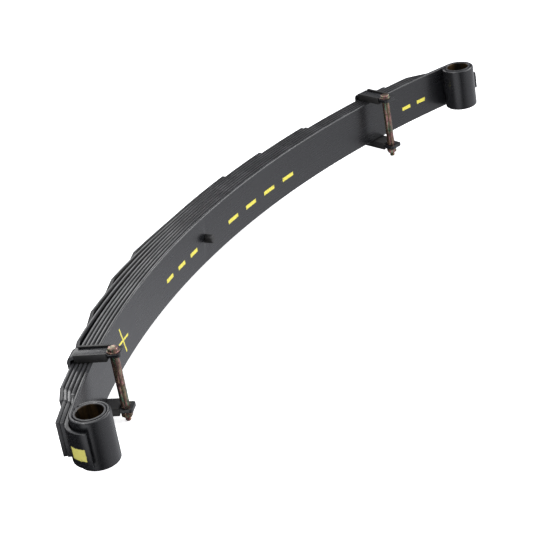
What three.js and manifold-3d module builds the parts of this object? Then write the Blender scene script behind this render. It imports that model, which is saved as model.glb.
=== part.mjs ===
// Multi-leaf automotive spring lying on its side: X runs along the spring towards the rear eye,
// -Y is the hollow side of the arch, +Z is across the leaves. Millimetres.
// The origin is on the hollow face of the main leaf, on the axis of the centre bolt.
import * as THREE from 'three';
import { mergeVertices } from 'three/addons/utils/BufferGeometryUtils.js';
import Module from 'manifold-3d';

// ---- driving dimensions ----
const LEAF_WIDTH = 70;
const LEAF_THICKNESS = 5.5;
const PAINT_GAP = 0.13; // paint film between two leaves at the centre bolt
const EDGE_CHAMFER = 1.4; // broken edge along each side of a leaf
const TIP_WIDTH = 50; // width of a leaf at its trimmed end
const FRONT_RADIUS = 1330; // arch radius of the hollow face, centre bolt to front eye
const REAR_RADIUS = 1390; // arch radius of the hollow face, centre bolt to rear eye
const FRONT_EYE_AT = 540; // distances along the arch from the centre bolt
const REAR_EYE_AT = 650;
const STATION = 24; // longest chord along a leaf

const SLEEVE_OUTER = 21; // radii of the pressed-in eye sleeve
const SLEEVE_BORE = 17.6;
const SLEEVE_LENGTH = 71;
const EYE_CLEARANCE = 0.15;
const ROLL_SWEEP = 316; // degrees of eye roll before its cut end meets the leaf again
const WRAP_CLEARANCE = 3.2; // air between an eye and the wrapper leaf round it
const FRONT_WRAP_SWEEP = 89; // degrees that the wrapper follows the front eye
const REAR_WRAP_SWEEP = 98;
const REAR_WRAP_WIDTH = 28; // the wrapper's end round the rear eye is narrower

const BOLT_SHANK = 5; // centre bolt radii and lengths
const DOWEL_RADIUS = 6.5;
const DOWEL_LENGTH = 12;
const CENTRE_NUT = { radius: 9.8, height: 9, proud: 4 };

const CLIPS = {
  front: { at: -407, boltOut: -27.5 }, // along the arch, and out from the hollow face
  rear: { at: 469.5, boltOut: -29.5 },
};
const CLIP_LEAVES = 5; // each clip is riveted under this leaf
const STRAP = { width: 23.6, thickness: 5, side: 39.3, corner: 4, tipCorner: 5, pastBolt: 10.3 };
const BOLT_SHIFT = -3; // the clip bolt is nearer to the strap's front edge
const LINER = { from: 24, shortOfBolt: 7, inside: 35.3, wall: 1.2, lip: 3.6, lipThickness: 2.2 };
const CLIP_BOLT = { radius: 4, flange: 8.9, flangeHeight: 1.8, hex: 6.6, head: 4.8, proud: 7.5 };
const CLIP_NUT = { flange: 8.9, flangeHeight: 1.8, hex: 7, height: 7 };
const SPACER = { outer: 6, bore: 4.4 };
const RIVET = { shank: 4, head: 8, rise: 3.2 };
const FIT = 0.3; // clearance between assembled clip parts

// Each leaf: how far it reaches along the arch towards each eye, and where its width starts and
// stops narrowing. The main leaf and the wrapper end in their eyes instead.
const LEAVES = [
  { name: 'main_leaf' },
  { name: 'wrapper_leaf', front: [491, 501], rear: [566, 622] },
  { name: 'leaf_3', front: [484, 494, 543], rear: [566, 622, 656] },
  { name: 'leaf_4', front: [480, 490, 541], rear: [566, 622, 654] },
  { name: 'leaf_5', front: [474, 488, 489], rear: [520, 534, 535] },
  { name: 'leaf_6', front: [358, 379, 380], rear: [334, 349, 350] },
  { name: 'leaf_7', front: [281, 302, 303], rear: [330, 345, 346] },
  { name: 'leaf_8', front: [190, 217, 218], rear: [227, 243, 244] },
  { name: 'leaf_9', front: [113, 135, 136], rear: [137, 151, 152] },
];
// Air that opens under each leaf by the time it is SPREAD_AT from the bolt, below leaf 2, 3, ...
// The leaves lie tight at the bolt and part smoothly over about SEAT on each side of it.
const SPREAD_AT = 450;
const SEAT = 30;
const FRONT_SPREAD = [0.5, 0.5, 0.2, 0.3, 5.5, 5.0, 8.8, 3.9];
const REAR_SPREAD = [0.1, 0.6, 0.1, 0.1, 0.1, 0.1, 0.1, 0.1];

const COLOURS = {
  paint: { color: 0x1d1d20, roughness: 0.38, metalness: 0.1 },
  liner: { color: 0x2b2b2d, roughness: 0.7, metalness: 0 },
  zinc: { color: 0xc9b27a, roughness: 0.3, metalness: 0.9 },
  steel: { color: 0x6a6157, roughness: 0.45, metalness: 0.9 },
  black: { color: 0x232326, roughness: 0.5, metalness: 0.4 },
};

const wasm = await Module();
wasm.setup();
const spring = new THREE.Group();

// ---- solids and booleans ----
function toSolid(geometry) {
  const bare = geometry.clone();
  bare.deleteAttribute('normal');
  bare.deleteAttribute('uv');
  const merged = mergeVertices(bare, 1e-4);
  return new wasm.Manifold(new wasm.Mesh({
    numProp: 3,
    vertProperties: new Float32Array(merged.attributes.position.array),
    triVerts: new Uint32Array(merged.index.array),
  }));
}

function toGeometry(solid) {
  const mesh = solid.getMesh();
  const geometry = new THREE.BufferGeometry();
  geometry.setAttribute('position', new THREE.BufferAttribute(mesh.vertProperties, 3));
  geometry.setIndex(new THREE.BufferAttribute(mesh.triVerts, 1));
  return geometry;
}

function cut(geometry, ...tools) {
  const solid = tools.reduce((body, tool) => body.subtract(toSolid(tool)), toSolid(geometry));
  return toGeometry(solid);
}

function keep(geometry, tool) {
  return toGeometry(toSolid(geometry).intersect(toSolid(tool)));
}

function join(geometry, ...others) {
  const solid = others.reduce((body, other) => body.add(toSolid(other)), toSolid(geometry));
  return toGeometry(solid);
}

function addPart(name, look, geometry, matrix) {
  const mesh = new THREE.Mesh(geometry, new THREE.MeshStandardMaterial(COLOURS[look]));
  mesh.name = name;
  if (matrix) mesh.applyMatrix4(matrix);
  spring.add(mesh);
}

// ---- the arch: s is measured along the main leaf's hollow face, n outwards from that face ----
function heading(s) {
  return s < 0 ? s / FRONT_RADIUS : s / REAR_RADIUS;
}

function archPoint(s, n) {
  const radius = s < 0 ? FRONT_RADIUS : REAR_RADIUS;
  const angle = s / radius;
  return new THREE.Vector2(Math.sin(angle) * (radius + n), Math.cos(angle) * (radius + n) - radius);
}

// Frame at a place on the arch: x along the leaf towards the rear, y outwards, z across.
function archFrame(s, n, z = 0) {
  const place = archPoint(s, n);
  const matrix = new THREE.Matrix4().makeRotationZ(-heading(s));
  return matrix.setPosition(place.x, place.y, z);
}

// How far the leaves have parted at s: 0 at the centre bolt, 1 at SPREAD_AT.
function parting(s) {
  return (Math.hypot(s, SEAT) - SEAT) / (Math.hypot(SPREAD_AT, SEAT) - SEAT);
}

// Height of the hollow face of leaf number i (0 is the main leaf) above the main leaf's own.
function leafBase(i, s) {
  const spread = s < 0 ? FRONT_SPREAD : REAR_SPREAD;
  const air = spread.slice(0, i).reduce((sum, gap) => sum + gap, 0);
  return i * (LEAF_THICKNESS + PAINT_GAP) + air * parting(s);
}

function stations(from, to) {
  const steps = Math.max(1, Math.ceil((to - from) / STATION));
  return Array.from({ length: steps + 1 }, (_, k) => from + ((to - from) * k) / steps);
}

function leafRun(i, from, to, lift) {
  return stations(from, to).map((s) => archPoint(s, leafBase(i, s) + lift));
}

// ---- eyes ----
const ROLL_INNER = SLEEVE_OUTER + EYE_CLEARANCE;
const ROLL_OUTER = ROLL_INNER + LEAF_THICKNESS;
const EYES = {
  front: { at: -FRONT_EYE_AT, turn: -1, wrapSweep: FRONT_WRAP_SWEEP },
  rear: { at: REAR_EYE_AT, turn: 1, wrapSweep: REAR_WRAP_SWEEP },
};
for (const eye of Object.values(EYES)) eye.centre = archPoint(eye.at, -ROLL_INNER);

// Points round an eye, starting straight outwards from its centre and turning round its end.
function roundEye(eye, radius, fromDegrees, toDegrees, grow = 0) {
  const steps = Math.max(2, Math.ceil(Math.abs(toDegrees - fromDegrees) / 12));
  const points = [];
  for (let k = 0; k <= steps; k += 1) {
    const sweep = fromDegrees + ((toDegrees - fromDegrees) * k) / steps;
    const angle = Math.PI / 2 - heading(eye.at) - eye.turn * THREE.MathUtils.degToRad(sweep);
    const reach = radius + (grow * k) / steps;
    points.push(new THREE.Vector2(
      eye.centre.x + reach * Math.cos(angle),
      eye.centre.y + reach * Math.sin(angle),
    ));
  }
  return points;
}

// ---- leaves ----
// A side profile pushed across the width, with both long edges broken.
function pushAcross(outline, width) {
  const geometry = new THREE.ExtrudeGeometry(new THREE.Shape(outline), {
    depth: width - 2 * EDGE_CHAMFER,
    bevelEnabled: true,
    bevelThickness: EDGE_CHAMFER,
    bevelSize: EDGE_CHAMFER,
    bevelOffset: -EDGE_CHAMFER,
    bevelSegments: 1,
    steps: 1,
  });
  return geometry.translate(0, 0, EDGE_CHAMFER - width / 2);
}

function mainLeafOutline() {
  const { front, rear } = EYES;
  return [
    ...roundEye(front, ROLL_OUTER, ROLL_SWEEP, 0),
    ...stations(front.at, rear.at).slice(1, -1).map((s) => archPoint(s, LEAF_THICKNESS)),
    ...roundEye(rear, ROLL_OUTER, 0, ROLL_SWEEP),
    ...roundEye(rear, ROLL_INNER, ROLL_SWEEP, 0),
    ...stations(front.at, rear.at).slice(1, -1).map((s) => archPoint(s, 0)).reverse(),
    ...roundEye(front, ROLL_INNER, 0, ROLL_SWEEP),
  ];
}

function wrapperOutline() {
  const { front, rear } = EYES;
  const [inFront, inRear] = [front, rear].map((eye) => leafBase(1, eye.at) + ROLL_INNER);
  const air = WRAP_CLEARANCE;
  const [f, r] = [front.wrapSweep, rear.wrapSweep];
  return [
    ...roundEye(front, inFront + LEAF_THICKNESS + air, f, 0, -air),
    ...leafRun(1, front.at, rear.at, LEAF_THICKNESS).slice(1, -1),
    ...roundEye(rear, inRear + LEAF_THICKNESS, 0, r, air),
    ...roundEye(rear, inRear + air, r, 0, -air),
    ...leafRun(1, front.at, rear.at, 0).slice(1, -1).reverse(),
    ...roundEye(front, inFront, 0, f, air),
  ];
}

function plainLeafOutline(i, frontTip, rearTip) {
  return [
    ...leafRun(i, -frontTip, rearTip, LEAF_THICKNESS),
    ...leafRun(i, -frontTip, rearTip, 0).reverse(),
  ];
}

// Two prisms that narrow a leaf from its full width at `start` to `tipWidth` at `stop` and beyond.
function tipCutters(start, stop, reach, side, tipWidth = TIP_WIDTH) {
  const far = side * (reach - start);
  const near = side * (stop - start);
  const deep = LEAF_WIDTH / 2 + 5;
  const shape = new THREE.Shape([
    new THREE.Vector2(0, LEAF_WIDTH / 2),
    new THREE.Vector2(near, tipWidth / 2),
    new THREE.Vector2(far, tipWidth / 2),
    new THREE.Vector2(far, deep),
    new THREE.Vector2(0, deep),
  ]);
  return [1, -1].map((face) => {
    const prism = new THREE.ExtrudeGeometry(shape, { depth: 320, bevelEnabled: false });
    prism.rotateX(Math.PI / 2).translate(0, 160, 0);
    if (face < 0) prism.rotateX(Math.PI);
    return prism.applyMatrix4(archFrame(side * start, 0));
  });
}

function boltHole(i) {
  const drill = new THREE.CylinderGeometry(BOLT_SHANK + FIT, BOLT_SHANK + FIT, 40, 24);
  return drill.translate(0, leafBase(i, 0) + LEAF_THICKNESS / 2, 0);
}

function rivetHole(at) {
  const drill = new THREE.CylinderGeometry(RIVET.shank + FIT, RIVET.shank + FIT, 14, 20);
  return drill.applyMatrix4(archFrame(at, leafBase(CLIP_LEAVES - 1, at) + LEAF_THICKNESS / 2));
}

function makeLeaf(i) {
  const { name, front, rear } = LEAVES[i];
  const tools = [boltHole(i)];
  let outline = null;
  if (i === 0) outline = mainLeafOutline();
  else if (i === 1) outline = wrapperOutline();
  else outline = plainLeafOutline(i, front[2], rear[2]);
  if (i > 0) {
    tools.push(...tipCutters(front[0], front[1], 700, -1));
    tools.push(...tipCutters(rear[0], rear[1], 900, 1));
  }
  if (i === 1) tools.push(...tipCutters(652, 668, 900, 1, REAR_WRAP_WIDTH));
  if (i === CLIP_LEAVES - 1) tools.push(rivetHole(CLIPS.front.at), rivetHole(CLIPS.rear.at));
  addPart(name, 'paint', cut(pushAcross(outline, LEAF_WIDTH), ...tools));
}
LEAVES.forEach((_, i) => makeLeaf(i));

// ---- eye sleeves ----
for (const [end, eye] of Object.entries(EYES)) {
  const half = SLEEVE_LENGTH / 2;
  const ring = [
    [SLEEVE_BORE, 1 - half], [SLEEVE_BORE + 0.8, -half], [SLEEVE_OUTER - 0.5, -half],
    [SLEEVE_OUTER, 0.5 - half], [SLEEVE_OUTER, half - 0.5], [SLEEVE_OUTER - 0.5, half],
    [SLEEVE_BORE + 0.8, half], [SLEEVE_BORE, half - 1], [SLEEVE_BORE, 1 - half],
  ].map(([r, y]) => new THREE.Vector2(r, y));
  const tube = new THREE.LatheGeometry(ring, 40).rotateX(Math.PI / 2);
  addPart(`${end}_eye_sleeve`, 'steel', tube, archFrame(eye.at, -ROLL_INNER));
}

// ---- centre bolt: round dowel head on the hollow side, nut on the shortest leaf ----
const PACK_TOP = leafBase(LEAVES.length, 0) - PAINT_GAP;

function lathe(points, segments) {
  return new THREE.LatheGeometry(points.map(([r, y]) => new THREE.Vector2(r, y)), segments);
}

function hexagon(flatRadius) {
  const corner = flatRadius / Math.cos(Math.PI / 6);
  return Array.from({ length: 6 }, (_, k) => {
    const angle = (k * Math.PI) / 3;
    return new THREE.Vector2(corner * Math.cos(angle), corner * Math.sin(angle));
  });
}

// A hexagonal block standing on y = 0 and reaching to y = height.
function hexBlock(flatRadius, height) {
  const block = new THREE.ExtrudeGeometry(new THREE.Shape(hexagon(flatRadius)), {
    depth: height - 0.8,
    bevelEnabled: true,
    bevelThickness: 0.8,
    bevelSize: 0.8,
    bevelOffset: -0.8,
    bevelSegments: 1,
  });
  return block.translate(0, 0, 0.8).rotateX(-Math.PI / 2);
}

function addCentreBolt() {
  const end = PACK_TOP + FIT + CENTRE_NUT.height + CENTRE_NUT.proud;
  addPart('centre_bolt', 'black', lathe([
    [0, -DOWEL_LENGTH - FIT], [DOWEL_RADIUS - 1, -DOWEL_LENGTH - FIT],
    [DOWEL_RADIUS, 1 - DOWEL_LENGTH - FIT], [DOWEL_RADIUS, -FIT], [BOLT_SHANK, -FIT],
    [BOLT_SHANK, end - 1], [BOLT_SHANK - 1, end], [0, end],
  ], 28));
  const bore = new THREE.CylinderGeometry(BOLT_SHANK + 0.1, BOLT_SHANK + 0.1, 40, 28);
  const nut = cut(hexBlock(CENTRE_NUT.radius, CENTRE_NUT.height), bore);
  addPart('centre_bolt_nut', 'black', nut, new THREE.Matrix4().makeTranslation(0, PACK_TOP + FIT, 0));
}
addCentreBolt();

// ---- rebound clips ----
// The strap seen along the spring, as [n, z]: a U with its open side towards the hollow face.
function strapSection(base, tip) {
  const { side, thickness, corner } = STRAP;
  const outer = side + thickness;
  const top = base + thickness;
  const round = corner + thickness;
  const shape = new THREE.Shape();
  shape.moveTo(tip, outer);
  shape.lineTo(top - round, outer);
  shape.absarc(top - round, outer - round, round, Math.PI / 2, 0, true);
  shape.lineTo(top, round - outer);
  shape.absarc(top - round, round - outer, round, 0, -Math.PI / 2, true);
  shape.lineTo(tip, -outer);
  shape.lineTo(tip, -side);
  shape.lineTo(base - corner, -side);
  shape.absarc(base - corner, corner - side, corner, -Math.PI / 2, 0, false);
  shape.lineTo(base, side - corner);
  shape.absarc(base - corner, side - corner, corner, 0, Math.PI / 2, false);
  shape.lineTo(tip, side);
  shape.closePath();
  return shape;
}

// Turns a solid drawn as [n, z] and pushed along +Z into one that runs along the spring.
function turnAlong(geometry) {
  const along = new THREE.Matrix4().makeBasis(
    new THREE.Vector3(0, 1, 0),
    new THREE.Vector3(0, 0, 1),
    new THREE.Vector3(1, 0, 0),
  );
  return geometry.applyMatrix4(along);
}

function makeStrap(base, boltOut) {
  const bevel = 0.7;
  const half = STRAP.width / 2;
  const tip = boltOut - STRAP.pastBolt;
  const bar = turnAlong(new THREE.ExtrudeGeometry(strapSection(base, tip - 2), {
    depth: STRAP.width - 2 * bevel,
    bevelEnabled: true,
    bevelThickness: bevel,
    bevelSize: bevel,
    bevelOffset: -bevel,
    bevelSegments: 1,
    curveSegments: 5,
  }).translate(0, 0, bevel - half));

  // Both ears end square with round corners, seen across the spring as [x, n].
  const r = STRAP.tipCorner;
  const plate = new THREE.Shape();
  plate.moveTo(-half - 1, base + 20);
  plate.lineTo(-half - 1, tip + r);
  plate.lineTo(-half, tip + r);
  plate.absarc(r - half, tip + r, r, Math.PI, 1.5 * Math.PI, false);
  plate.absarc(half - r, tip + r, r, 1.5 * Math.PI, 2 * Math.PI, false);
  plate.lineTo(half + 1, tip + r);
  plate.lineTo(half + 1, base + 20);
  plate.closePath();
  const options = { depth: 120, bevelEnabled: false, curveSegments: 6 };
  const outline = new THREE.ExtrudeGeometry(plate, options).translate(0, 0, -60);
  return keep(bar, outline);
}

// A sheath round one leg of the strap, seen along the leg as [x, z], open on the outside.
function makeLiner(boltOut) {
  const inner = STRAP.width / 2 + 0.2;
  const outer = inner + LINER.wall;
  const mouth = inner - LINER.lip + LINER.wall;
  const floor = STRAP.side - FIT;
  const under = STRAP.side + STRAP.thickness + FIT;
  const top = under + LINER.lipThickness;
  const section = new THREE.Shape([
    [-outer, LINER.inside], [outer, LINER.inside], [outer, top], [mouth, top], [mouth, under],
    [inner, under], [inner, floor], [-inner, floor], [-inner, under], [-mouth, under],
    [-mouth, top], [-outer, top],
  ].map(([x, z]) => new THREE.Vector2(x, z)));
  const bevel = 0.4;
  const sheath = new THREE.ExtrudeGeometry(section, {
    depth: LINER.from - LINER.shortOfBolt - boltOut - 2 * bevel,
    bevelEnabled: true,
    bevelThickness: bevel,
    bevelSize: bevel,
    bevelOffset: -bevel,
    bevelSegments: 1,
  });
  return sheath.rotateX(Math.PI / 2).translate(0, LINER.from - bevel, 0);
}

// Moves a piece that stands along Y at the origin onto the axis of the clip bolt.
function onBoltAxis(geometry, boltOut) {
  return geometry.rotateX(Math.PI / 2).translate(BOLT_SHIFT, boltOut, 0);
}

function addClip(end) {
  const { at, boltOut } = CLIPS[end];
  const place = archFrame(at, 0);
  const base = leafBase(CLIP_LEAVES - 1, at) + LEAF_THICKNESS + FIT;

  const boltHoles = onBoltAxis(new THREE.CylinderGeometry(4.5, 4.5, 120, 24), boltOut);
  const rivetBore = new THREE.CylinderGeometry(RIVET.shank + FIT, RIVET.shank + FIT, 30, 20);
  rivetBore.translate(0, base, 0);
  addPart(`${end}_clip_strap`, 'paint', cut(makeStrap(base, boltOut), boltHoles, rivetBore), place);
  addPart(`${end}_clip_liner_upper`, 'liner', makeLiner(boltOut), place);
  addPart(`${end}_clip_liner_lower`, 'liner', makeLiner(boltOut).rotateY(Math.PI), place);

  // The rivet's foot is flush with the hollow face of the leaf that it holds.
  const foot = leafBase(CLIP_LEAVES - 1, at) + 0.4;
  const seat = base + STRAP.thickness + FIT;
  addPart(`${end}_clip_rivet`, 'black', lathe([
    [0, foot], [RIVET.shank, foot], [RIVET.shank, seat], [RIVET.head, seat],
    [RIVET.head * 0.92, seat + RIVET.rise * 0.45],
    [RIVET.head * 0.6, seat + RIVET.rise * 0.85], [0, seat + RIVET.rise],
  ], 24), place);

  // Bolt, spacer tube and nut.
  const face = STRAP.side + STRAP.thickness + FIT;
  const threadEnd = -(face + CLIP_NUT.height + CLIP_BOLT.proud);
  const shank = lathe([
    [0, threadEnd], [CLIP_BOLT.radius - 0.8, threadEnd], [CLIP_BOLT.radius, threadEnd + 0.8],
    [CLIP_BOLT.radius, face], [CLIP_BOLT.flange, face],
    [CLIP_BOLT.flange - 0.4, face + CLIP_BOLT.flangeHeight],
    [0, face + CLIP_BOLT.flangeHeight],
  ], 28);
  const head = hexBlock(CLIP_BOLT.hex, CLIP_BOLT.head).translate(0, face + 0.4, 0);
  addPart(`${end}_clip_bolt`, 'zinc', onBoltAxis(join(shank, head), boltOut), place);

  const tubeEnd = STRAP.side - FIT;
  const tube = lathe([
    [SPACER.bore, -tubeEnd], [SPACER.outer, -tubeEnd], [SPACER.outer, tubeEnd],
    [SPACER.bore, tubeEnd], [SPACER.bore, -tubeEnd],
  ], 28);
  addPart(`${end}_clip_spacer`, 'zinc', onBoltAxis(tube, boltOut), place);

  const flange = new THREE.CylinderGeometry(
    CLIP_NUT.flange - 0.4, CLIP_NUT.flange, CLIP_NUT.flangeHeight, 28,
  );
  const hexagonal = hexBlock(CLIP_NUT.hex, CLIP_NUT.height - 0.4).translate(0, 0.4, 0);
  const bore = new THREE.CylinderGeometry(CLIP_BOLT.radius + 0.1, CLIP_BOLT.radius + 0.1, 60, 28);
  const nut = cut(join(flange.translate(0, CLIP_NUT.flangeHeight / 2, 0), hexagonal), bore);
  const turned = nut.rotateX(Math.PI).translate(0, -face, 0);
  addPart(`${end}_clip_nut`, 'zinc', onBoltAxis(turned, boltOut), place);
}
addClip('front');
addClip('rear');

export default spring;
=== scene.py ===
import math

import bmesh
import bpy
from mathutils import Matrix, Vector


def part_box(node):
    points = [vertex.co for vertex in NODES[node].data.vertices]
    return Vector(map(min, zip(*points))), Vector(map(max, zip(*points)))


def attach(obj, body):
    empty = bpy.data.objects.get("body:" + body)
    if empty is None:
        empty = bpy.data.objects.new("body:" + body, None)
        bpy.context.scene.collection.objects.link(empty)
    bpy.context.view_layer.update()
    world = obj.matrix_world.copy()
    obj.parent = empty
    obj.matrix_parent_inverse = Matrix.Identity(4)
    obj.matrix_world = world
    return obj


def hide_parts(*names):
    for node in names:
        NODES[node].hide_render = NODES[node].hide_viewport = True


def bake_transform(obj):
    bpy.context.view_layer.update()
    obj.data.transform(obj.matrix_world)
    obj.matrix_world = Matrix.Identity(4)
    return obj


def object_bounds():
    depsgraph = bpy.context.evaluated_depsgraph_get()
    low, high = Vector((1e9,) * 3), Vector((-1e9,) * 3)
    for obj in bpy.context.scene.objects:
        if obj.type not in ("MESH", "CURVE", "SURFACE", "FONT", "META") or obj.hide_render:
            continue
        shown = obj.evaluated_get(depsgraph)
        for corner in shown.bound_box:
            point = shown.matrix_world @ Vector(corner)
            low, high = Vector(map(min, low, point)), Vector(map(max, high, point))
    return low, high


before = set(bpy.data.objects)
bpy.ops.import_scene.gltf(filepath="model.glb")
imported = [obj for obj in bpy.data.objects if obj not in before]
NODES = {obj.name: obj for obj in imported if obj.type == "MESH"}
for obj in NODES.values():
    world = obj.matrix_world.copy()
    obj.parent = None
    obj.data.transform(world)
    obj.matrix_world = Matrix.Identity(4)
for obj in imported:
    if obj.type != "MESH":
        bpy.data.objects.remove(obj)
CAD_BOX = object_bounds()

# ---- sizes, in metres, in the part's own frame ----
FRONT_RADIUS = 1.330  # arch radii of the hollow face, towards each eye
REAR_RADIUS = 1.390
HALF_WIDTH = 0.035  # half the width of a leaf
LEAVES = ["main_leaf", "wrapper_leaf"] + [f"leaf_{number}" for number in range(3, 10)]
# Each half of a leaf: body, side of the bolt, start x, end x. The start and end x are not read by this
# script.
HALVES = [("front", -1, -0.030, -0.375), ("rear", 1, 0.030, 0.404)]
ENDS = ("front", "rear")
SLEEVE_BORE = 0.018  # radius at which the sleeve's oily bore meets its painted rim
LEAF_ROUNDING = 0.00065  # radius of a leaf's rounded edges
BOLT_ROUNDING = 0.0003
CUT_INSIDE_NUT = 0.0025  # how far below the nut's end face a bolt's thread begins
M8 = {"radius": 0.0040, "pitch": 0.00125}
M10 = {"radius": 0.0050, "pitch": 0.0015}

# ---- mesh limits ----
SAME_POINT = 1e-6  # metres; vertices closer than this are one
FLAT = math.radians(0.25)  # faces that turn less than this are one face
SHARP = math.radians(28)  # edges that turn more than this are rounded
CREASE = math.radians(35)  # edges that turn more than this stay sharp in shading

# ---- marks, in metres along, out from and across a leaf ----
BAR_HALF_WIDTH = 0.0030
STROKE_HALF_WIDTH = 0.0016
PATCH_ACROSS = (-0.0140, 0.0030)
PATCH_OUT = (-0.0140, 0.0050)
PATCH_STARTS = -0.552  # along the arch, past the start of the front eye
MARK_SOFTNESS = 0.0003

STENCIL_YELLOW = (0.54, 0.48, 0.045, 1)
DAB_YELLOW = (0.39, 0.36, 0.066, 1)


# ---- node helpers ----
class Shader:
    """A material's node tree, with short ways to add nodes and join them."""

    def __init__(self, name):
        self.material = bpy.data.materials.new(name)
        self.material.use_nodes = True
        self.tree = self.material.node_tree
        self.main = self.tree.nodes["Principled BSDF"]

    def add(self, kind, inputs=None, **settings):
        node = self.tree.nodes.new(kind)
        for key, value in settings.items():
            setattr(node, key, value)
        for key, value in (inputs or {}).items():
            self.put(node.inputs[key], value)
        return node

    def put(self, socket, value):
        if isinstance(value, bpy.types.NodeSocket):
            self.tree.links.new(value, socket)
        else:
            socket.default_value = value

    def math(self, operation, a, b=0.0, clamp=False):
        return self.add("ShaderNodeMath", {0: a, 1: b}, operation=operation, use_clamp=clamp).outputs[0]

    def ramp(self, value, low, high, from_value=0.0, to_value=1.0):
        """from_value below low, to_value above high, smooth between them."""
        inputs = {"Value": value, 1: low, 2: high, 3: from_value, 4: to_value}
        return self.add("ShaderNodeMapRange", inputs, interpolation_type="SMOOTHSTEP").outputs[0]

    def noise(self, where, scale, detail=3.0, roughness=0.55):
        inputs = {"Vector": where, "Scale": scale, "Detail": detail, "Roughness": roughness}
        return self.add("ShaderNodeTexNoise", inputs).outputs["Fac"]

    def mix(self, factor, a, b):
        node = self.add("ShaderNodeMix", data_type="RGBA")
        self.put(node.inputs[0], factor)
        self.put(node.inputs[6], a)
        self.put(node.inputs[7], b)
        return node.outputs[2]

    def stretch(self, where, scale):
        return self.add("ShaderNodeMapping", {"Vector": where, "Scale": scale}).outputs[0]

    def bump(self, height, strength, distance, normal=None):
        inputs = {"Height": height, "Strength": strength, "Distance": distance}
        if normal is not None:
            inputs["Normal"] = normal
        return self.add("ShaderNodeBump", inputs).outputs[0]

    def rest(self):
        """(s, n, z): along the leaf, out from the hollow face, across. It stays put when a leaf bends."""
        return self.add("ShaderNodeAttribute", attribute_name="rest").outputs["Vector"]

    def place(self):
        return self.add("ShaderNodeTexCoord").outputs["Object"]

    def split(self, vector):
        return self.add("ShaderNodeSeparateXYZ", {0: vector}).outputs

    def within(self, value, low, high, soft):
        """1 where value is between low and high."""
        rise = self.ramp(value, low - soft, low + soft)
        fall = self.ramp(value, high - soft, high + soft, 1.0, 0.0)
        return self.math("MULTIPLY", rise, fall)

    def finish(self, colour, roughness, normal):
        self.put(self.main.inputs["Base Color"], colour)
        self.put(self.main.inputs["Roughness"], roughness)
        self.put(self.main.inputs["Normal"], normal)
        return self.material


# ---- materials ----
def black_paint(name, leaf=False, marks=None, mark_colour=None):
    """Satin black paint over steel: orange peel and brushed flow along the length. On leaves, lighter thin
    paint on the edges, partly rubbed wear and partly a painted highlight, and a painted shade in the grooves
    between leaves.
    """
    shader = Shader(name)
    where = shader.rest() if leaf else shader.place()
    cloud = shader.noise(where, 9.0, 4.0)
    flow = shader.noise(shader.stretch(where, (14.0, 160.0, 160.0)), 1.0, 4.0, 0.65)
    peel = shader.noise(where, 620.0, 2.0)
    dust = shader.noise(where, 1500.0, 2.0, 0.7)

    colour = shader.mix(cloud, (0.0036, 0.0037, 0.0044, 1), (0.0085, 0.0087, 0.0100, 1))
    colour = shader.mix(shader.ramp(dust, 0.66, 0.78, 0.0, 0.30), colour, (0.055, 0.055, 0.058, 1))
    roughness = shader.math("ADD", shader.math("MULTIPLY", cloud, 0.16), 0.13)
    roughness = shader.math("ADD", roughness, shader.math("MULTIPLY", flow, 0.12))

    if leaf:
        # Lighter paint along the leaf edges, patchy by a noise: partly rubbed wear and partly a painted
        # highlight on the rounded edges.
        across = shader.split(where)[2]
        edge = shader.math("ABSOLUTE", across)
        ragged = shader.math("MULTIPLY", shader.noise(where, 260.0, 3.0), 0.0010)
        edge = shader.math("ADD", edge, ragged)
        edge_wear_and_highlight = shader.ramp(edge, HALF_WIDTH - 0.0008, HALF_WIDTH + 0.0004)
        rubbed = shader.ramp(shader.noise(where, 34.0, 4.0), 0.42, 0.72)
        edge_wear_and_highlight = shader.math("MULTIPLY", edge_wear_and_highlight, rubbed)
        colour = shader.mix(shader.math("MULTIPLY", edge_wear_and_highlight, 0.55), colour, (0.060, 0.060, 0.063, 1))
        # Painted shade: the paint turns near black and dull in the grooves between leaves, where shade falls.
        groove_shade = shader.add("ShaderNodeAttribute", attribute_name="groove_shade").outputs["Fac"]
        colour = shader.mix(groove_shade, colour, (0.0015, 0.0015, 0.0018, 1))
        roughness = shader.math("ADD", roughness, shader.math("MULTIPLY", groove_shade, 0.60))
    if marks:
        paint = marks(shader, where)
        colour = shader.mix(paint, colour, mark_colour)
        roughness = shader.math("ADD", roughness, shader.math("MULTIPLY", paint, 0.22))

    normal = shader.bump(peel, 0.05, 0.0006)
    normal = shader.bump(flow, 0.04, 0.0008, normal)
    if marks:
        normal = shader.bump(paint, 0.5, 0.00012, normal)
    shader.main.inputs["IOR"].default_value = 1.50
    return shader.finish(colour, roughness, normal)


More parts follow.
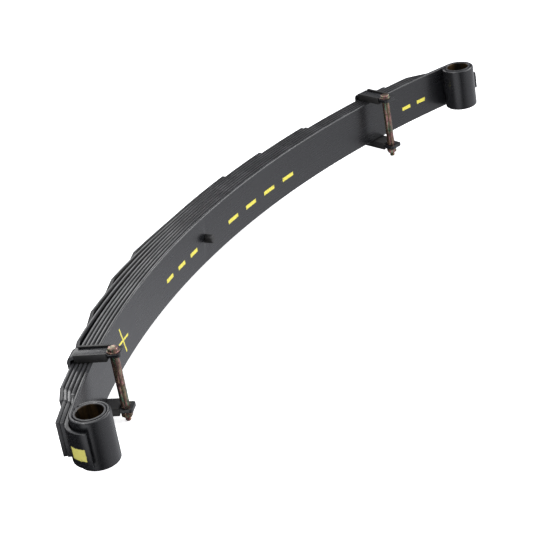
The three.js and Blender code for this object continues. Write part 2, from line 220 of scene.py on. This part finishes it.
def stencil_bars(shader, where):
    """Plain yellow index bars and an inspector's cross on the hollow face of the main leaf."""
    along, out, across = shader.split(where)
    fuzz = shader.math("MULTIPLY", shader.math("SUBTRACT", shader.noise(where, 420.0, 3.0), 0.5), 0.0022)
    along = shader.math("ADD", along, fuzz)
    across = shader.math("ADD", across, fuzz)
    hollow = shader.ramp(out, 0.0004, 0.0008, 1.0, 0.0)

    # Rows of bars: where the row starts and ends, the pitch, and its middle across the leaf.
    rows = [(-0.132, -0.020, 0.040, -0.003), (0.066, 0.272, 0.052, -0.006), (0.532, 0.598, 0.035, -0.006)]
    total = 0.0
    for start, end, pitch, middle in rows:
        step = shader.math("FRACT", shader.math("DIVIDE", shader.math("SUBTRACT", along, start), pitch))
        bar = shader.ramp(step, 0.52, 0.56, 1.0, 0.0)
        bar = shader.math("MULTIPLY", bar, shader.within(along, start, end, MARK_SOFTNESS))
        band = shader.within(across, middle - BAR_HALF_WIDTH, middle + BAR_HALF_WIDTH, MARK_SOFTNESS)
        bar = shader.math("MULTIPLY", bar, band)
        total = shader.math("MAXIMUM", bar, total)

    # Each stroke of the cross: its two ends as (along, across).
    strokes = [((-0.306, 0.019), (-0.296, -0.021)), ((-0.281, -0.003), (-0.318, 0.000))]
    for (s0, z0), (s1, z1) in strokes:
        length = math.hypot(s1 - s0, z1 - z0)
        ds, dz = (s1 - s0) / length, (z1 - z0) / length
        run_s = shader.math("SUBTRACT", along, s0)
        run_z = shader.math("SUBTRACT", across, z0)
        lengthwise = shader.math(
            "ADD", shader.math("MULTIPLY", run_s, ds), shader.math("MULTIPLY", run_z, dz)
        )
        sideways = shader.math(
            "SUBTRACT", shader.math("MULTIPLY", run_s, dz), shader.math("MULTIPLY", run_z, ds)
        )
        stroke = shader.within(sideways, -STROKE_HALF_WIDTH, STROKE_HALF_WIDTH, MARK_SOFTNESS)
        stroke = shader.math("MULTIPLY", stroke, shader.within(lengthwise, 0.0, length, 0.0006))
        total = shader.math("MAXIMUM", stroke, total)

    thin = shader.ramp(shader.noise(where, 300.0, 4.0), 0.30, 0.46, 0.45, 1.0)
    return shader.math("MULTIPLY", shader.math("MULTIPLY", total, hollow), thin)


def yellow_patch(shader, where):
    """A dab of yellow paint on the outside of the wrapper leaf where it turns round the front eye."""
    along, out, across = shader.split(where)
    fuzz = shader.math("MULTIPLY", shader.math("SUBTRACT", shader.noise(where, 300.0, 3.0), 0.5), 0.0022)
    out = shader.math("ADD", out, fuzz)
    across = shader.math("ADD", across, fuzz)
    square = shader.within(across, *PATCH_ACROSS, MARK_SOFTNESS)
    square = shader.math("MULTIPLY", square, shader.within(out, *PATCH_OUT, 0.0004))
    square = shader.math("MULTIPLY", square, shader.ramp(along, PATCH_STARTS, PATCH_STARTS + 0.002, 1.0, 0.0))
    thin = shader.ramp(shader.noise(where, 260.0, 4.0), 0.28, 0.45, 0.55, 1.0)
    return shader.math("MULTIPLY", square, thin)


def liner_plastic():
    """Matte black moulded nylon, finely grained, greyer where it is rubbed."""
    shader = Shader("liner_plastic")
    where = shader.place()
    grain = shader.noise(where, 1300.0, 2.0)
    cloud = shader.noise(where, 40.0, 3.0)
    colour = shader.mix(cloud, (0.0065, 0.0063, 0.006, 1), (0.013, 0.0125, 0.012, 1))
    roughness = shader.math("ADD", shader.math("MULTIPLY", cloud, 0.14), 0.42)
    return shader.finish(colour, roughness, shader.bump(grain, 0.25, 0.0004))


def yellow_zinc():
    """Yellow chromate plating: dull gold with drifting pink and green bands, and handling marks."""
    shader = Shader("yellow_zinc")
    where = shader.place()
    drift = shader.noise(shader.stretch(where, (190.0, 190.0, 24.0)), 1.0, 4.0, 0.6)
    ramp = shader.add("ShaderNodeValToRGB", {"Fac": drift})
    shades = [
        (0.26, (0.200, 0.150, 0.095)), (0.38, (0.150, 0.165, 0.105)), (0.45, (0.270, 0.190, 0.110)),
        (0.52, (0.300, 0.125, 0.150)), (0.57, (0.260, 0.190, 0.130)), (0.63, (0.075, 0.200, 0.130)),
        (0.68, (0.260, 0.185, 0.115)), (0.80, (0.170, 0.135, 0.120)),
    ]
    stops = ramp.color_ramp.elements
    while len(stops) < len(shades):
        stops.new(0.5)
    for stop, (position, shade) in zip(stops, shades):
        stop.position = position
        stop.color = (*shade, 1)
    grime = shader.ramp(shader.noise(where, 180.0, 4.0), 0.42, 0.66)
    colour = shader.mix(shader.math("MULTIPLY", grime, 0.7), ramp.outputs[0], (0.030, 0.026, 0.022, 1))
    roughness = shader.math("ADD", shader.math("MULTIPLY", grime, 0.25), 0.20)
    normal = shader.bump(shader.noise(where, 900.0, 2.0), 0.14, 0.0004)
    shader.main.inputs["Metallic"].default_value = 0.9
    return shader.finish(colour, roughness, normal)


def black_fastener():
    """Phosphated steel: dark grey, grainy, slightly oily."""
    shader = Shader("black_fastener")
    where = shader.place()
    cloud = shader.noise(where, 70.0, 4.0)
    grain = shader.noise(where, 1400.0, 2.0)
    colour = shader.mix(cloud, (0.014, 0.014, 0.015, 1), (0.034, 0.033, 0.032, 1))
    roughness = shader.math("ADD", shader.math("MULTIPLY", cloud, 0.2), 0.32)
    normal = shader.bump(grain, 0.2, 0.0004)
    shader.main.inputs["Metallic"].default_value = 0.45
    return shader.finish(colour, roughness, normal)


def sleeve_steel(name, node):
    """Eye sleeve: painted rim, and a bore of bare steel with a brown film of oil."""
    shader = Shader(name)
    where = shader.place()
    low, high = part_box(node)
    middle = (Vector(low) + Vector(high)) / 2
    x, y = shader.split(where)[:2]
    from_axis = shader.math(
        "SQRT",
        shader.math(
            "ADD",
            shader.math("POWER", shader.math("SUBTRACT", x, middle.x), 2.0),
            shader.math("POWER", shader.math("SUBTRACT", y, middle.y), 2.0),
        ),
    )
    bore = shader.ramp(from_axis, SLEEVE_BORE - 0.0002, SLEEVE_BORE + 0.0002, 1.0, 0.0)
    streak = shader.noise(shader.stretch(where, (60.0, 60.0, 12.0)), 1.0, 4.0, 0.6)
    oil = shader.mix(shader.ramp(streak, 0.35, 0.65), (0.008, 0.0065, 0.005, 1), (0.060, 0.034, 0.012, 1))
    paint = shader.mix(shader.noise(where, 60.0, 3.0), (0.010, 0.010, 0.011, 1), (0.020, 0.020, 0.022, 1))
    colour = shader.mix(bore, paint, oil)
    roughness = shader.math("ADD", shader.math("MULTIPLY", streak, 0.2), 0.26)
    turned = shader.noise(shader.stretch(where, (20.0, 20.0, 1400.0)), 1.0, 2.0)
    normal = shader.bump(turned, 0.12, 0.0005)
    shader.put(shader.main.inputs["Metallic"], shader.math("MULTIPLY", bore, 0.6))
    return shader.finish(colour, roughness, normal)


# ---- leaves ----
def arch_place(point):
    """(s, n, z) of a point: along the arch by its angle, out from the hollow face, across."""
    radius = FRONT_RADIUS if point.x < 0 else REAR_RADIUS
    along = math.atan2(point.x, point.y + radius) * radius
    out = math.hypot(point.x, point.y + radius) - radius
    return along, out, point.z


def shade_in_groove(face, number):
    """1 deep in the groove under a leaf, where a painted shade turns the paint near black and dull; 0
    elsewhere.
    """
    normal, centre = face.normal, face.calc_center_median()
    radius = FRONT_RADIUS if centre.x < 0 else REAR_RADIUS
    inward = -(normal.x * centre.x + normal.y * (centre.y + radius)) / math.hypot(centre.x, centre.y + radius)
    across = abs(normal.z)
    if number == 0 or inward < 0.1 or across < 0.05:
        return 0.0
    return min(1.0, max(0.0, (0.95 - across) / 0.20))


def even_seam(mesh):
    """Turns the shading at the cut end so that the two halves of a leaf meet without a line."""
    normals = [Vector(corner.vector) for corner in mesh.corner_normals]
    for face in mesh.polygons:
        level = Vector((0, face.normal.y, face.normal.z)).normalized()
        for corner in face.loop_indices:
            if abs(mesh.vertices[mesh.loops[corner].vertex_index].co.x) < SAME_POINT:
                normals[corner] = level
    mesh.normals_split_custom_set(normals)


def cad_form(node):
    """A CAD node's mesh, welded, with its flat faces joined up."""
    form = bmesh.new()
    form.from_mesh(node.data)
    bmesh.ops.remove_doubles(form, verts=form.verts, dist=SAME_POINT)
    bmesh.ops.dissolve_limit(form, angle_limit=FLAT, verts=form.verts, edges=form.edges)
    return form


def round_edges(form, radius):
    sharp = [edge for edge in form.edges if edge.is_manifold and edge.calc_face_angle() > SHARP]
    bmesh.ops.bevel(form, geom=sharp, offset=radius, segments=3, profile=0.5, affect="EDGES")


def leaf_half(node, end, side, material):
    """Half of a leaf as its own mesh, with rounded edges, named after its end."""
    form = cad_form(node)
    round_edges(form, LEAF_ROUNDING)
    everything = form.verts[:] + form.edges[:] + form.faces[:]
    bmesh.ops.bisect_plane(
        form, geom=everything, plane_co=(0, 0, 0), plane_no=(-side, 0, 0), clear_outer=True
    )
    mesh = bpy.data.meshes.new(f"{node.name}_{end}_half")
    form.normal_update()
    groove_shades = [shade_in_groove(face, LEAVES.index(node.name)) for face in form.faces]
    form.to_mesh(mesh)
    form.free()
    mesh.materials.clear()
    mesh.materials.append(material)
    mesh.shade_smooth()
    mesh.set_sharp_from_angle(angle=CREASE)

    rest = mesh.attributes.new("rest", "FLOAT_VECTOR", "POINT")
    places = [arch_place(vertex.co) for vertex in mesh.vertices]
    rest.data.foreach_set("vector", [value for place in places for value in place])
    # The painted shade in the grooves between leaves, one value a face.
    mesh.attributes.new("groove_shade", "FLOAT", "FACE").data.foreach_set("value", groove_shades)
    even_seam(mesh)

    half = bpy.data.objects.new(mesh.name, mesh)
    bpy.context.collection.objects.link(half)
    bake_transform(half)
    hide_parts(node.name)


def make_leaves():
    plain = black_paint("leaf_paint", leaf=True)
    marked = {
        "main_leaf": black_paint("leaf_paint_marked", True, stencil_bars, STENCIL_YELLOW),
        "wrapper_leaf": black_paint("leaf_paint_dabbed", True, yellow_patch, DAB_YELLOW),
    }
    for name in LEAVES:
        for end, side, start, stop in HALVES:
            leaf_half(NODES[name], end, side, marked.get(name, plain))


# ---- pieces kept from the CAD model ----
def dress(name, material, round_off=0.0004):
    """Gives a CAD node its material and rounds its edges."""
    node = NODES[name]
    node.data.materials.clear()
    node.data.materials.append(material)
    node.data.shade_smooth()
    weld = node.modifiers.new("weld", "WELD")
    weld.merge_threshold = SAME_POINT
    bevel = node.modifiers.new("rounded edges", "BEVEL")
    bevel.width = round_off
    bevel.segments = 3
    bevel.limit_method = "ANGLE"
    bevel.angle_limit = math.radians(30)
    bevel.harden_normals = True


def link_mesh(form, name, material):
    """Turns a form into an object in the scene."""
    mesh = bpy.data.meshes.new(name)
    form.to_mesh(mesh)
    form.free()
    mesh.materials.append(material)
    obj = bpy.data.objects.new(name, mesh)
    bpy.context.collection.objects.link(obj)
    return obj


def screw_form(radius, pitch, length):
    """A closed length of screw thread along +Z from the origin, with a chamfered far end."""
    sides = 36
    rows_per_turn = 8
    depth = 0.55 * pitch
    chamfer = 0.9 * pitch
    rows = math.ceil(length / pitch * rows_per_turn)
    form = bmesh.new()
    rings = []
    for row in range(rows + 1):
        height = length * row / rows
        lead_in = max(0.0, height - (length - chamfer))
        ring = []
        for side in range(sides):
            angle = 2 * math.pi * side / sides
            phase = (height / pitch - side / sides) % 1.0
            flank = min(1.0, abs(2 * phase - 1) * 1.15)
            reach = min(radius - depth * flank, radius - lead_in * 0.75)
            ring.append(form.verts.new((reach * math.cos(angle), reach * math.sin(angle), height)))
        rings.append(ring)
    for low, high in zip(rings, rings[1:]):
        for side in range(sides):
            after = (side + 1) % sides
            form.faces.new((low[side], low[after], high[after], high[side]))
    form.faces.new(list(reversed(rings[0])))
    form.faces.new(rings[-1])
    return form


def thread_end(node_name, body, material, axis, nut_name, size):
    """Replaces a bolt by its shank, cut off inside the nut, and a modelled thread from there on."""
    node = NODES[node_name]
    low, high = (Vector(corner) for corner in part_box(node_name))
    nut_low, nut_high = (Vector(corner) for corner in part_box(nut_name))
    index = max(range(3), key=lambda k: abs(axis[k]))
    forward = axis[index] > 0
    end = high[index] if forward else low[index]
    nut_face = nut_high[index] if forward else nut_low[index]
    cut_at = nut_face - CUT_INSIDE_NUT if forward else nut_face + CUT_INSIDE_NUT
    plane = (nut_low + nut_high) / 2
    plane[index] = cut_at

    form = cad_form(node)
    everything = form.verts[:] + form.edges[:] + form.faces[:]
    section = bmesh.ops.bisect_plane(
        form, geom=everything, plane_co=plane, plane_no=axis, clear_outer=True
    )["geom_cut"]
    bmesh.ops.holes_fill(form, edges=[part for part in section if isinstance(part, bmesh.types.BMEdge)])
    round_edges(form, BOLT_ROUNDING)
    shank = link_mesh(form, f"{node_name}_shank", material)

    thread_form = screw_form(size["radius"], size["pitch"], abs(end - cut_at))
    thread = link_mesh(thread_form, f"{node_name}_thread", material)
    turn = Vector((0, 0, 1)).rotation_difference(axis).to_matrix().to_4x4()
    thread.data.transform(Matrix.Translation(plane) @ turn)
    for piece in (shank, thread):
        piece.data.shade_smooth()
        piece.data.set_sharp_from_angle(angle=CREASE)
        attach(piece, body)
        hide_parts(node_name)


def dress_fittings():
    strap = black_paint("strap_paint")
    liner = liner_plastic()
    zinc = yellow_zinc()
    black = black_fastener()
    dress("centre_bolt_nut", black)
    thread_end(
        "centre_bolt", "leaf_pack", black, Vector((0, 1, 0)), "centre_bolt_nut", M10
    )
    for end in ENDS:
        dress(f"{end}_eye_sleeve", sleeve_steel(f"{end}_sleeve_finish", f"{end}_eye_sleeve"), 0.0003)
        dress(f"{end}_clip_strap", strap, 0.0007)
        dress(f"{end}_clip_rivet", black)
        dress(f"{end}_clip_nut", zinc)
        dress(f"{end}_clip_spacer", zinc, 0.0003)
        for leg in ("upper", "lower"):
            dress(f"{end}_clip_liner_{leg}", liner, 0.0003)
        thread_end(
            f"{end}_clip_bolt", f"{end}_limb", zinc, Vector((0, 0, -1)), f"{end}_clip_nut", M8
        )


# ---- studio ----
def look_at(obj, place, target):
    direction = Vector(target) - Vector(place)
    obj.location = place
    obj.rotation_euler = direction.to_track_quat("-Z", "Y").to_euler()


def softbox(name, place, target, size, power):
    light = bpy.data.lights.new(name, "AREA")
    light.shape = "RECTANGLE"
    light.size, light.size_y = size
    light.energy = power
    obj = bpy.data.objects.new(name, light)
    bpy.context.collection.objects.link(obj)
    look_at(obj, place, target)


def make_floor():
    mesh = bpy.data.meshes.new("floor")
    reach = 12.0
    level = CAD_BOX[0].z - 0.0005
    corners = [(-reach, -reach, level), (reach, -reach, level), (reach, reach, level), (-reach, reach, level)]
    mesh.from_pydata(corners, [], [(0, 1, 2, 3)])
    floor = bpy.data.objects.new("floor", mesh)
    bpy.context.collection.objects.link(floor)
    shader = Shader("floor")
    shader.main.inputs["Base Color"].default_value = (0.9, 0.9, 0.9, 1)
    shader.main.inputs["Roughness"].default_value = 0.9
    shader.main.inputs["Specular IOR Level"].default_value = 0.0
    shader.main.inputs["Emission Color"].default_value = (1, 1, 1, 1)
    shader.main.inputs["Emission Strength"].default_value = 0.70
    mesh.materials.append(shader.material)
    floor.visible_glossy = False


def make_studio_air():
    """A white studio, brightest overhead and on the side that the hollow face looks to."""
    world = bpy.data.worlds.new("studio")
    bpy.context.scene.world = world
    world.use_nodes = True
    tree = world.node_tree
    background = tree.nodes["Background"]
    background.inputs["Color"].default_value = (0.94, 0.95, 1.0, 1)
    coordinates = tree.nodes.new("ShaderNodeTexCoord")

    def toward(direction, low, high, bright):
        dot = tree.nodes.new("ShaderNodeVectorMath")
        dot.operation = "DOT_PRODUCT"
        dot.inputs[1].default_value = Vector(direction).normalized()
        tree.links.new(coordinates.outputs["Generated"], dot.inputs[0])
        span = tree.nodes.new("ShaderNodeMapRange")
        span.interpolation_type = "SMOOTHSTEP"
        span.inputs[1].default_value = low
        span.inputs[2].default_value = high
        span.inputs[4].default_value = bright
        tree.links.new(dot.outputs["Value"], span.inputs[0])
        return span.outputs[0]

    def add(a, b):
        node = tree.nodes.new("ShaderNodeMath")
        node.operation = "ADD"
        for socket, value in zip(node.inputs, (a, b)):
            if isinstance(value, float):
                socket.default_value = value
            else:
                tree.links.new(value, socket)
        return node.outputs[0]

    right = toward((0.52, -0.86, 0.0), 0.05, 0.95, 1.02)
    above = toward((0, 0, 1), 0.1, 0.9, 0.90)
    ahead = toward((0.9, 0.05, -0.45), 0.86, 1.0, 0.30)
    left = toward((-0.99, -0.05, -0.25), 0.84, 0.99, 1.3)
    glow = add(add(right, above), add(add(left, ahead), 0.02))
    tree.links.new(glow, background.inputs["Strength"])


def make_camera():
    """Long lens from in front, to the left and above, tilted a little."""
    azimuth, elevation, roll = (math.radians(angle) for angle in (-58.752, 26.491, -9.897))
    back = Vector((
        math.sin(azimuth) * math.cos(elevation),
        -math.cos(azimuth) * math.cos(elevation),
        math.sin(elevation),
    ))
    level = (-back).cross(Vector((0, 0, 1))).normalized()
    above = level.cross(-back)
    right = math.cos(roll) * level + math.sin(roll) * above
    up = math.cos(roll) * above - math.sin(roll) * level
    turn = Matrix((right, up, back)).transposed().to_4x4()
    data = bpy.data.cameras.new("camera")
    data.lens = 111.66
    data.sensor_width = 36.0
    data.shift_x = -0.0131
    data.shift_y = 0.0098
    data.clip_end = 60.0
    camera = bpy.data.objects.new("camera", data)
    bpy.context.collection.objects.link(camera)
    camera.matrix_world = Matrix.Translation((-1.8725, -1.2416, 1.0447)) @ turn
    bpy.context.scene.camera = camera


def make_studio():
    make_floor()
    make_studio_air()
    softbox("overhead", (-0.35, 0.35, 1.9), (0, -0.05, 0), (2.2, 1.2), 22)
    softbox("right", (0.9, -2.0, 0.7), (0.15, 0, 0), (1.6, 1.2), 22)
    softbox("spark", (-1.34, 0.34, 1.6), (-0.48, -0.06, 0), (0.5, 0.5), 12)
    softbox("rim", (1.9, -1.1, 1.15), (0, 0, 0), (0.9, 0.45), 13)
    softbox("back", (1.2, 1.6, 0.9), (0.1, 0, 0), (1.2, 1.0), 10)
    bpy.context.scene.view_settings.view_transform = "Standard"
    make_camera()


make_leaves()
dress_fittings()
make_studio()
